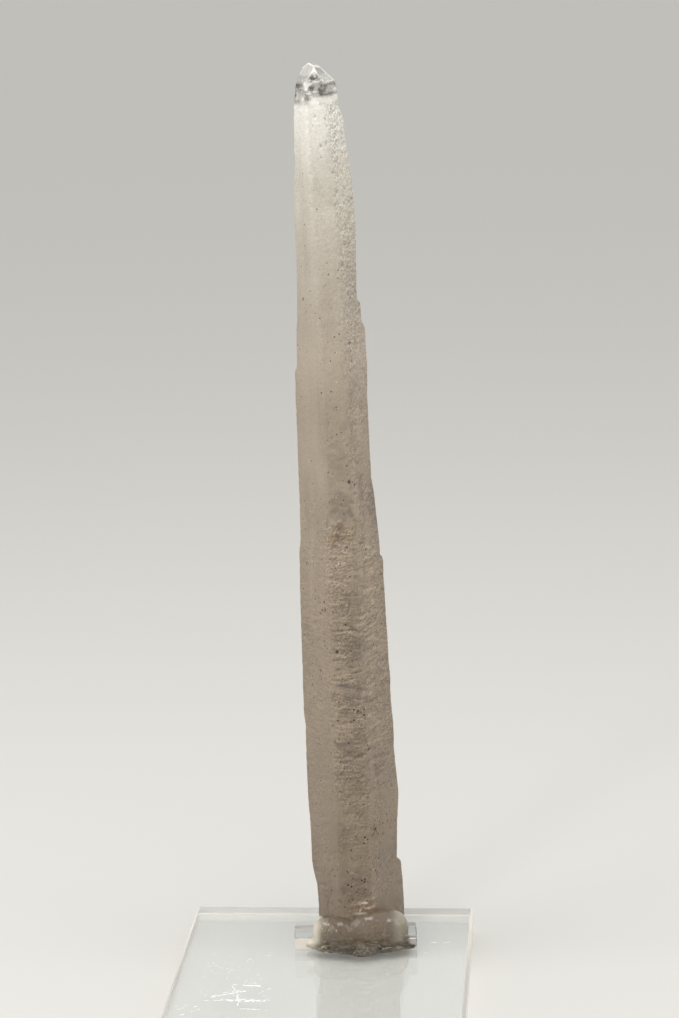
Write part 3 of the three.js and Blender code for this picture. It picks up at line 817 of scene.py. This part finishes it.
def mottle(node, per_mm, detail, stretch=(1, 1, 1), moved=(0, 0, 0)):
    """Noise with per_mm blobs to the millimetre, squashed along an axis and moved."""
    away = [distance * MM for distance in moved]
    place = node("TexCoord", out="Object")
    squashed = node("Mapping", {"Vector": place, "Location": away, "Scale": stretch})
    return node("TexNoise", {"Vector": squashed, "Scale": per_mm / MM, "Detail": detail})


def ramp(node, source, low, high, stops):
    """A colour or a share for each level of the source between low and high."""
    level = node("MapRange", {"Value": source, "From Min": low, "From Max": high})
    colours = node("ValToRGB", {"Fac": level})
    elements = colours.node.color_ramp.elements
    while len(elements) < len(stops):
        elements.new(0.5)
    for element, (position, colour) in zip(elements, stops):
        element.position = position
        element.color = linear(colour) if isinstance(colour, str) else (colour, colour, colour, 1)
    return colours


def specks(node, per_mm, size, share):
    """Small round dots in a share of the cells, of which there are per_mm to the millimetre."""
    place = node("TexCoord", out="Object")
    cells = node("TexVoronoi", {"Vector": place, "Scale": per_mm / MM})
    dot = ramp(node, cells, 0.0, size, [(0.0, 1.0), (0.7, 0.95), (1.0, 0.0)])
    chance = node("SeparateColor", (cells.node.outputs["Color"],), "Red")
    some = node("Math", (chance, share), operation="LESS_THAN")
    return node("Math", (dot, some), operation="MULTIPLY")


def etch_and_painted_relief(node, mark, low_down, below_point, grain, crinkle):
    """Etch curls, each painted pale on its upper side and painted dark on its lower, as if lit
    from above, the grain and the level crinkles between them, and the painted relief shade."""
    # a pattern less the same one moved a little is pale on one side and dark on the other:
    # painted light and shade on the curls, as if lit from above
    curls = mottle(node, 2.0, 1.5)
    curl = node("Math", (curls, mottle(node, 2.0, 1.5, moved=(-0.08, 0, 0.12))), operation="SUBTRACT")
    layers = []
    for pattern, low, high, stops, where, much in (
        (curl, -0.11, 0.11, [(0.0, 0.70), (0.5, 1.0), (1.0, 1.22)], below_point, mark["curled"]),
        (grain, 0.3, 0.7, [(0.0, 0.70), (0.5, 1.0), (1.0, 1.24)], below_point, mark["grainy"]),
        (crinkle, 0.34, 0.66, [(0.0, 0.72), (0.42, 1.0), (1.0, 1.18)], low_down, mark["grainy"]),
    ):
        share = node("Math", (where, much), operation="MULTIPLY")
        layers.append(("MULTIPLY", share, ramp(node, pattern, low, high, stops)))
    # the painted relief shade: paler on ledges that face up, darker in grooves
    shade = ramp(node, mark["painted_relief_shade"], -1.0, 1.0, [(0.0, 0.68), (0.5, 1.0), (1.0, 1.28)])
    return layers + [("MULTIPLY", 1.0, shade)]


def dirt_and_glints(node, mark, by_height, below_point):
    """Shares of dark, from fine specks, grains caught together and dirt in pits, and of pale
    specks that are painted glints."""
    often = by_height([(0.0, 0.45), (0.2, 0.35), (0.45, 0.40), (0.58, 0.14), (0.9, 0.03)])
    single = specks(node, 1.25, 0.20, often)
    single = node("Math", (single, 0.85), operation="MULTIPLY")
    caught = node("Math", (mark["speckled"], 0.9), operation="MULTIPLY")
    together = specks(node, 1.7, 0.40, caught)
    dark = node("Math", (single, together), operation="MAXIMUM")
    dark = node("Math", (dark, mark["dirt"]), operation="MAXIMUM")
    # painted glints: pale specks, most where the etch is curled
    glinting = node("Math", (mark["curled"], 0.45, 0.04), operation="MULTIPLY_ADD")
    painted_highlights = specks(node, 1.65, 0.21, glinting)
    painted_highlights = node("Math", (painted_highlights, 0.50), operation="MULTIPLY")
    return [node("Math", (share, below_point), operation="MULTIPLY") for share in (dark, painted_highlights)]


def quartz():
    """Natural quartz: cloudy with fine inclusions, frosted by etching, glass clear at the
    point. The eye sees a soft milky body that lets a little light through, crinkled level
    lines and dark specks on it, a thin bright rim of painted rim light, and a clear point
    with veils in it. Painted light and shade also lie in its colour: painted shade towards
    the foot, painted glints, painted light and shade on ledges, grooves and curls, and
    painted highlights and dark refraction in the point."""
    material, node = new_material("quartz, natural growth faces")
    mark = {name: node("Attribute", out="Fac", attribute_name=name) for name in CRYSTAL_MARKS}

    # height, blurred by the cloud so that no boundary is level
    z = node("SeparateXYZ", (node("TexCoord", out="Object"),), "Z")
    cloud = mottle(node, 0.3, 4)
    height = node("Math", (cloud, 4.0 * MM, z), operation="MULTIPLY_ADD")
    low, high = (SLAB_THICK + FINISH_FROM) * MM, (SLAB_THICK + FINISH_TO) * MM
    by_height = partial(ramp, node, height, low, high)
    below_point = by_height([(0.0, 1.0), (0.945, 1.0), (0.957, 0.0)])
    in_point = node("Math", (1.0, below_point), operation="SUBTRACT")
    low_down = by_height([(0.0, 0.35), (0.16, 0.4), (0.24, 1.0), (0.46, 1.0), (0.52, 0.3), (0.9, 0.1)])

    # clouds inside, drawn out along the crystal, and the greyer clear patches
    veil = ramp(node, mottle(node, 0.42, 3, (1, 1, 0.14)), 0.3, 0.7, [(0.0, 0.91), (1.0, 1.03)])
    patch = ramp(node, mottle(node, 0.13, 2, (1, 1, 0.8)), 0.35, 0.65, [(0.0, 0.90), (1.0, 1.02)])
    uneven = ramp(node, mottle(node, 1.5, 3), 0.35, 0.65, [(0.0, 0.45), (1.0, 1.3)])
    clear = node("Math", (mark["clear"], uneven), operation="MULTIPLY")

    grain = mottle(node, 3.3, 2)
    crinkle = mottle(node, 0.62, 3, (1, 1, 4.0))
    dark, painted_highlights = dirt_and_glints(node, mark, by_height, below_point)
    # dark in the clear point: partly veils inside it and partly painted dark refraction
    dark_veil_painted_refraction = node("Math", (mark["veil"], in_point), operation="MULTIPLY")
    frosted, dark_veil_share, bright = (
        node("Math", (share, much), operation="MULTIPLY")
        for share, much in ((mark["frost"], 0.8), (dark_veil_painted_refraction, 0.9), (mark["edge"], 0.85))
    )
    # body colour by height, darker towards the foot: partly painted shade
    body = by_height(BODY_WITH_PAINTED_FALLOFF)
    for blend, share, colour in (
        ("MULTIPLY", 1.0, veil), ("MULTIPLY", 1.0, patch),
        ("MULTIPLY", clear, "#cccfd6"), ("MULTIPLY", mark["stain"], "#ecd09d"),
        *etch_and_painted_relief(node, mark, low_down, below_point, grain, crinkle),
        ("MIX", painted_highlights, "#fbf3e6"), ("MIX", dark, "#1c140d"),
        # the last mix paints the rim light and the highlights of the point
        ("MIX", frosted, "#c9c4ba"), ("MIX", dark_veil_share, "#3f3e3c"), ("MIX", bright, "#fbf8f2"),
    ):
        body = node(
            "Mix", {"Factor": share, "A": body, "B": colour}, "Result",
            data_type="RGBA", blend_type=blend,
        )

    # light passes where the crystal is clear, and not where it is frosted, dirty, or painted pale with
    # rim light and highlights
    through = by_height([
        (0.0, 0.62), (0.07, 0.48), (0.4, 0.44), (0.75, 0.38), (0.90, 0.18), (0.945, 0.12), (0.960, 0.96),
    ])
    through = node("Math", (clear, 0.25, through), operation="MULTIPLY_ADD")
    for share, loss in ((mark["frost"], -0.75), (mark["edge"], -0.8), (dark, -0.7)):
        left = node("Math", (share, loss, 1.0), operation="MULTIPLY_ADD")
        through = node("Math", (through, left), operation="MULTIPLY")
    dull = by_height([(0.0, 0.32), (0.12, 0.46), (0.75, 0.42), (0.93, 0.34), (0.96, 0.05)])
    dull = node("Math", (mark["frost"], 0.25, dull), operation="MULTIPLY_ADD")

    # the grain and crinkles in relief below the point, and fine cracks in it
    level = node("Math", (crinkle, low_down), operation="MULTIPLY")
    level = node("Math", (level, 1.8, grain), operation="MULTIPLY_ADD")
    level = node("Math", (level, mark["grainy"]), operation="MULTIPLY")
    level = node("Math", (level, below_point), operation="MULTIPLY")
    cracks = node("Math", (mottle(node, 0.9, 2), in_point), operation="MULTIPLY")
    level = node("Math", (cracks, 2.5, level), operation="MULTIPLY_ADD")
    bump = node("Bump", {"Strength": 0.8, "Distance": 0.12 * MM, "Height": level})
    return surfaced(material, node, {
        "Base Color": body, "Transmission Weight": through, "Roughness": dull, "IOR": QUARTZ_IOR,
        "Normal": bump,
    })


def clear_acrylic():
    """Cast acrylic sheet with its polished skin: seen through, with sharp reflections."""
    return surfaced(*new_material("acrylic sheet, polished face"), {
        "Base Color": "#e9ebea", "Roughness": 0.01, "Transmission Weight": 1.0, "IOR": ACRYLIC_IOR,
    })


def sawn_acrylic(name, colour, through):
    """Sawn acrylic edge: the saw's fine vertical marks turn the clear sheet dull and grey."""
    material, node = new_material(name)
    marks = mottle(node, 1.5, 3, (1, 1, 0.08))
    bump = node("Bump", {"Strength": 0.5, "Distance": 0.05 * MM, "Height": marks})
    return surfaced(material, node, {
        "Base Color": colour, "Roughness": 0.42, "Transmission Weight": through, "IOR": ACRYLIC_IOR,
        "Normal": bump,
    })


def set_glue():
    """Clear casting glue, poured hot and set in lobes: glossy and see-through, a little
    cloudy and yellow where it is thick, and painted with the crystal's colour where the
    crystal stands behind it, a painted view through the glue."""
    material, node = new_material("clear glue, set in lobes")
    colour = ramp(node, mottle(node, 0.3, 2), 0, 1, [(0.35, "#ead6ae"), (0.65, "#f8efdc")])
    cloudy, crystal_painted_through = (
        node("Attribute", out="Fac", attribute_name=name) for name in ("cloudy", "crystal_painted_through")
    )
    # the crystal's colour painted on the glue in front of it stands in for the view through
    for share, other in ((cloudy, "#f6eddb"), (crystal_painted_through, "#a48f78")):
        colour = node("Mix", {"Factor": share, "A": colour, "B": other}, "Result", data_type="RGBA")
    through, dull = (
        node("MapRange", {"Value": cloudy, "To Min": where_clear, "To Max": where_cloudy})
        for where_clear, where_cloudy in ((0.96, 0.42), (0.03, 0.12))
    )
    return surfaced(material, node, {
        "Base Color": colour, "Transmission Weight": through, "Roughness": dull, "IOR": GLUE_IOR,
    })


def scratched():
    """Fresh scratches in acrylic: crushed white burrs that catch the light."""
    inputs = {"Base Color": "#ffffff", "Roughness": 0.5}
    return surfaced(*new_material("acrylic, scratched white"), inputs)


def pale_board():
    """Painted board under the object: matt and evenly pale, so that it takes soft shadows."""
    inputs = {"Base Color": "#cdcbc7", "Roughness": 0.8}
    return surfaced(*new_material("floor, pale matt board"), inputs)


# ---------------- scratches on the slab
# start x, y, end x, y, width and share of its length that is broken white
SCRATCHES = [
    (-18.1, -15.8, -12.3, -13.1, 0.34, 1.0), (-17.9, -15.2, -13.3, -12.7, 0.18, 0.8),
    (-19.6, -17.1, -6.7, -16.9, 0.20, 0.7), (-15.4, -16.9, -8.6, -17.1, 0.40, 0.9),
    (-15.1, -10.3, -10.0, -10.9, 0.22, 0.7), (-12.4, -10.7, -10.1, -10.9, 0.36, 1.0),
    (-10.0, -14.1, -8.2, -11.9, 0.16, 0.8), (-13.4, -14.2, -12.8, -19.6, 0.14, 0.5),
    (-14.6, -12.6, -13.1, -16.6, 0.12, 0.5), (-13.6, -20.5, -8.0, -20.8, 0.30, 0.6),
    (-15.0, -10.5, -14.3, -12.6, 0.16, 0.6), (-18.0, -2.8, -13.6, -5.4, 0.08, 0.4),
    (-17.1, -6.3, -14.4, -2.3, 0.08, 0.4), (-24.0, -21.1, -19.9, -19.4, 0.14, 0.5),
    (-22.4, -23.2, -19.1, -20.6, 0.16, 0.5), (-23.6, -19.6, -20.4, -18.9, 0.10, 0.5),
    (-14.6, -0.6, -9.7, 2.6, 0.06, 0.3), (-21.6, -8.1, -18.8, -6.3, 0.08, 0.3),
    (18.0, 8.6, 19.4, 8.8, 0.30, 0.9), (20.5, 8.6, 21.6, 9.1, 0.30, 0.9),
    (14.8, 5.8, 21.0, 1.9, 0.06, 0.3),
]

# dust and nicks: how many, range of x, range of y and the longest
DUST = [(110, (-21, -8), (-16, 4), 0.7), (60, (-24, 24), (-22, 22), 0.4), (40, (8, 23), (-6, 9), 0.5)]

# how far a flake's ridge stands above the slab, and how deep it goes
FLAKE_PROUD = 0.02


def chip(flakes, start, end, ridge, wide):
    """Add one flake: a long thin lozenge with a low ridge above and below it."""
    vertices, faces = flakes
    along = (end - start) / np.linalg.norm(end - start)
    side = np.array((-along[1], along[0])) * wide / 2
    middle = start + (end - start) * ridge
    base = len(vertices)
    for (x, y), z in (
        (start, 0), (middle - side, 0), (end, 0), (middle + side, 0),
        (middle, FLAKE_PROUD), (middle, -FLAKE_PROUD),
    ):
        vertices.append((x * MM, y * MM, (SLAB_THICK + z) * MM))
    for a, b in ((0, 1), (1, 2), (2, 3), (3, 0)):
        faces.append((base + a, base + b, base + 4))
        faces.append((base + b, base + a, base + 5))


def scratch(flakes, rng, start, end, wide, broken):
    """A slightly bowed line of flakes, of which only the broken share is there."""
    whole = np.linalg.norm(end - start)
    along = (end - start) / whole
    side = np.array((-along[1], along[0]))
    bow = rng.uniform(-0.04, 0.04) * whole
    at = 0.0
    while at < whole:
        long = rng.uniform(0.35, 1.5)
        off = bow * math.sin(math.pi * at / whole) + rng.normal(0, 0.07)
        first = start + along * at + side * off
        last = first + along * min(long, whole - at + 0.2) + side * rng.normal(0, 0.08)
        if rng.uniform() < broken:
            flake_wide = wide * rng.uniform(0.45, 1.15)
            chip(flakes, first, last, rng.uniform(0.3, 0.7), flake_wide)
        at += long * rng.uniform(0.5, 0.9)


def build_scratches(material):
    vertices, faces = flakes = [], []
    rng = np.random.default_rng(5)
    for x0, y0, x1, y1, wide, broken in SCRATCHES:
        scratch(flakes, rng, np.array((x0, y0)), np.array((x1, y1)), wide, broken)
    for count, x_range, y_range, longest in DUST:
        for _ in range(count):
            first = np.array((rng.uniform(*x_range), rng.uniform(*y_range)))
            turn, long = rng.uniform(0, math.pi), rng.uniform(0.12, longest)
            # none lies under the crystal and its glue
            if not (-7 < first[0] < 17 and first[1] > 1):
                last = first + long * np.array((math.cos(turn), math.sin(turn)))
                flake_wide = rng.uniform(0.04, 0.10)
                chip(flakes, first, last, rng.uniform(0.3, 0.7), flake_wide)
    mesh = new_mesh("slab_scratches", vertices, faces)
    return new_object("slab_scratches", mesh, (material,), flat=True)


# ---------------- the object
clear = clear_acrylic()
crystal = build_crystal(quartz())
glue = build_glue(set_glue())
half = SLAB_SIDE / 2
slab = bevelled_block(
    "acrylic_slab_clear", [(-half, -half), (half, -half), (half, half), (-half, half)],
    0, SLAB_THICK, SLAB_BEVEL, (clear, sawn_acrylic("acrylic sheet, sawn edge", "#f4f0e8", 0.5)),
    dull_sides=(0, 1, 2, 3), dull_bevels=True,
)
# where the glue wets the strip's sawn front and right end it is clear again
strip = bevelled_block(
    "foot_strip_clear", strip_outline((0, STRIP_DRY, STRIP_LENGTH)),
    SLAB_THICK + SEAT_GAP, SLAB_THICK + STRIP_HEIGHT, STRIP_BEVEL,
    (clear, sawn_acrylic("acrylic strip, sawn edge", "#f1e8df", 0.15)),
    dull_sides=(0, 3, 4), dull_bevels=False,
)
scratches = build_scratches(scratched())
# clear sheet passes nearly all light on to what it stands on
for sheet in (slab, strip):
    sheet.visible_shadow = False

for thing, node, slot in (
    (crystal, "quartz_crystal", "quartz"), (glue, "glue", "glue"),
    (slab, "acrylic_slab", "slab_acrylic"), (strip, "foot_strip", "strip_acrylic"),
):
    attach(thing, "root")
    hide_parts(node)
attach(scratches, "root")

# ---------------- floor, light, camera
floor_corners = [(x, y, -FLOOR_GAP * MM) for x, y in ((-6, -3), (6, -3), (6, 12), (-6, 12))]
floor_mesh = new_mesh("floor", floor_corners, [(0, 1, 2, 3)])
floor = new_object("floor", floor_mesh, (pale_board(),), flat=True)

# place, what it is aimed at, width and height in metres, and watts
SOFTBOXES = {
    "softbox left": ((-0.40, -0.16, 0.30), (0.0, 0.012, 0.12), 0.30, 0.40, 0.80),
    "softbox right": ((0.44, -0.10, 0.34), (0.0, 0.012, 0.12), 0.25, 0.40, 0.45),
    "small lamp": ((-0.16, -0.34, 0.30), (0.0, 0.006, 0.01), 0.045, 0.045, 0.16),
    "softbox above": ((0.02, -0.10, 0.52), (0.0, 0.012, 0.10), 0.30, 0.22, 0.9),
}
for name, (place, target, wide, tall, watts) in SOFTBOXES.items():
    light = bpy.data.lights.new(name, "AREA")
    light.shape = "RECTANGLE"
    light.size, light.size_y = wide, tall
    light.energy = watts
    lamp = in_scene(name, light)
    lamp.location = place
    lamp.rotation_euler = (Vector(target) - Vector(place)).to_track_quat("-Z", "Y").to_euler()

world = bpy.data.worlds.new("studio")
bpy.context.scene.world = world
world.use_nodes = True
background = world.node_tree.nodes["Background"].inputs
background["Color"].default_value = linear("#dededc")
background["Strength"].default_value = 1.12

# the camera looks a little to the left and down, and is tilted a little
CAMERA_PLACE = (40.9, -438.43, 190.66)
YAW, PITCH, ROLL = rad(4.71), rad(13.39), rad(-1.44)
camera_data = bpy.data.cameras.new("camera")
camera_data.lens = 95.48
camera_data.sensor_width = 36
camera_data.clip_start, camera_data.clip_end = 0.01, 60
camera = in_scene("camera", camera_data)
ahead = Vector((-math.sin(YAW), math.cos(YAW), 0))
side = Vector((math.cos(YAW), math.sin(YAW), 0))
up = Vector((0, 0, 1))
looking = ahead * math.cos(PITCH) - up * math.sin(PITCH)
top = up * math.cos(PITCH) + ahead * math.sin(PITCH)
rolled_side = side * math.cos(ROLL) + top * math.sin(ROLL)
rolled_top = top * math.cos(ROLL) - side * math.sin(ROLL)
turn = Matrix((rolled_side, rolled_top, -looking)).transposed()
camera.matrix_world = Matrix.Translation(Vector(CAMERA_PLACE) * MM) @ turn.to_4x4()
bpy.context.scene.camera = camera
bpy.context.scene.view_settings.view_transform = "Standard"
